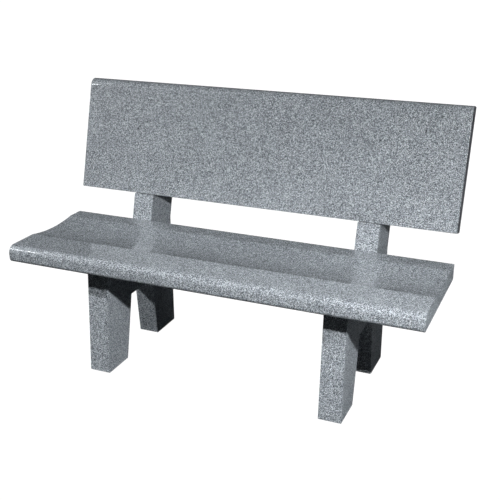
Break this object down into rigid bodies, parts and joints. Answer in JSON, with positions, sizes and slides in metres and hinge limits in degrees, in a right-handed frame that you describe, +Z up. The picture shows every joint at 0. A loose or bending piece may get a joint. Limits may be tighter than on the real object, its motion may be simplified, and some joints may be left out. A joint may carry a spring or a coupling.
{
  "type": "stone bench with backrest",
  "caption": "Polished granite garden bench: dished seat slab on h-shaped stone side supports whose reclined posts carry a full-length backrest slab.",
  "frame": {"origin": "on the ground, at the middle of the bench's whole length and depth", "axes": "+X along the bench, towards the right of someone facing its front; +Y from the seat's front edge to the back; +Z up"},
  "size_m": [1.37, 0.641, 0.9092],
  "materials": {
    "polished_granite": "polished grey granite",
    "setting_mortar": "dark grey setting mortar",
    "stainless_dowel": "plain stainless bar"
  },
  "bodies": {
    "root": {"seat_slab": "polished_granite", "backrest_slab": "polished_granite", "side_support_left": "polished_granite", "side_support_right": "polished_granite", "seat_bed_left": "setting_mortar", "seat_bed_right": "setting_mortar", "ledge_bed_left": "setting_mortar", "ledge_bed_right": "setting_mortar", "rear_bed_left": "setting_mortar", "rear_bed_right": "setting_mortar", "seat_dowels": "stainless_dowel", "backrest_dowels": "stainless_dowel"}
  },
  "joints": []
}
